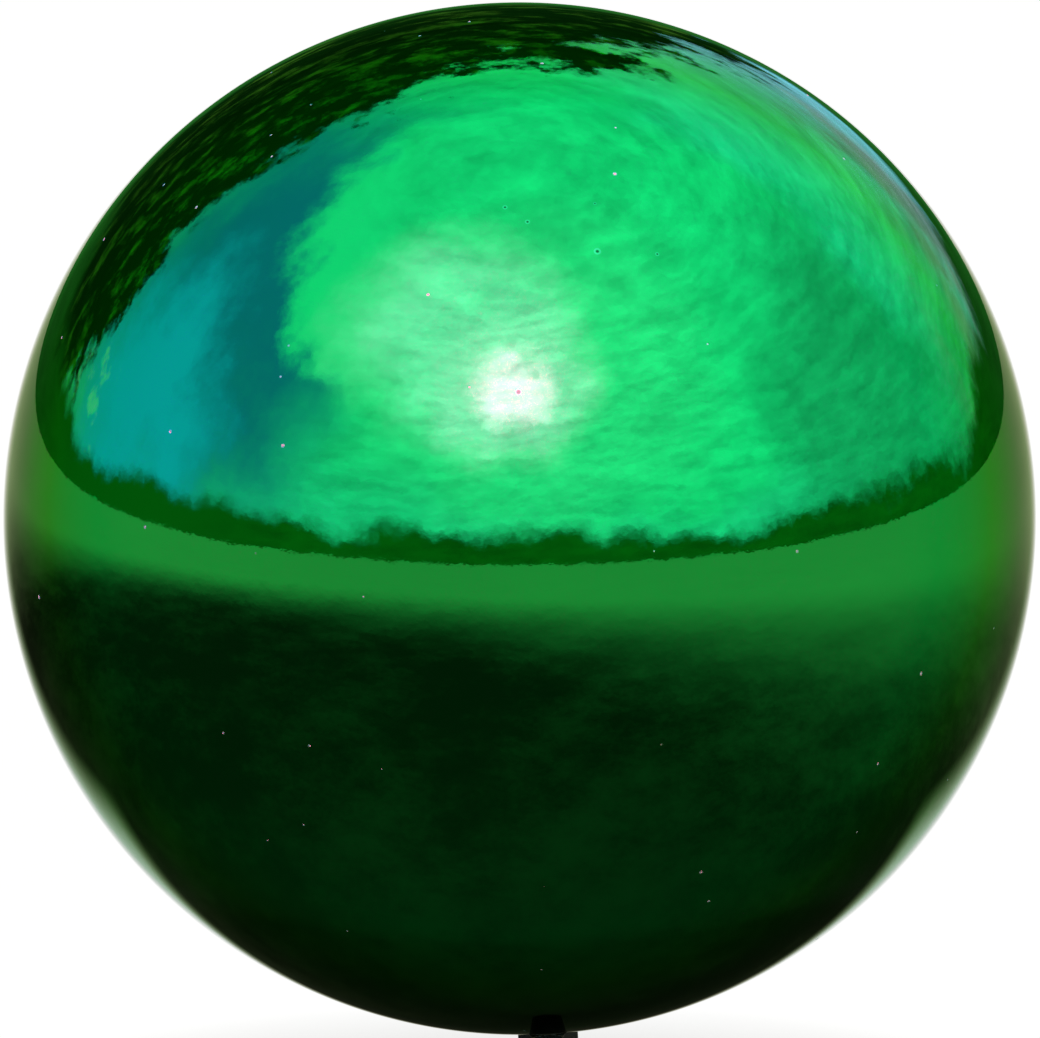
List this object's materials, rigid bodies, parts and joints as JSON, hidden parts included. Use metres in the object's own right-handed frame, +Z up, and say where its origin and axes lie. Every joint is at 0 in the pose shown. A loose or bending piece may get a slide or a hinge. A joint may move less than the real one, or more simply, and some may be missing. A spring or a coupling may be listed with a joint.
{
  "type": "garden gazing ball",
  "caption": "Hollow mirror-polished steel ball under translucent green lacquer, which screws onto a stem with a plain pin for a garden stand or stake.",
  "frame": {"origin": "centre of the flat lower end of the mounting stem", "axes": "+Z up the stem, through the middle of the ball"},
  "size_m": [0.254, 0.254, 0.2983],
  "materials": {
    "green_lacquered_steel": "translucent green lacquer over mirror-polished stainless steel, high gloss",
    "weld_metal": "straw-tinted weld bead, as welded inside and ground flush outside",
    "bare_steel": "bare pressed steel, dull, with heat tint round its welds",
    "black_rubber": "moulded rubber, matt",
    "stainless_washer": "pressed stainless steel, satin",
    "blackened_steel": "turned steel, black oxide, oiled, bright where the edges have worn"
  },
  "bodies": {
    "stem": {"mounting_stem": "blackened_steel"},
    "washers": {"cup_washer": "stainless_washer", "rubber_seal": "black_rubber"},
    "ball": {"upper_shell": "green_lacquered_steel", "lower_shell": "green_lacquered_steel", "seam_weld": "weld_metal", "base_disc": "bare_steel", "weld_nut": "bare_steel"}
  },
  "joints": [
    {"name": "ball_turn", "type": "hinge", "parent": "stem", "child": "washers", "pos_m": [0, 0, 0.042], "axis": [0, 0, 1], "range_deg": [0, 2520]},
    {"name": "ball_lift", "type": "slide", "parent": "washers", "child": "ball", "axis": [0, 0, 1], "range_m": [0, 0.00875]}
  ],
  "couplings": [
    {"joint": "ball_lift", "follows": "ball_turn", "m_per_rad": 0.00019894}
  ]
}
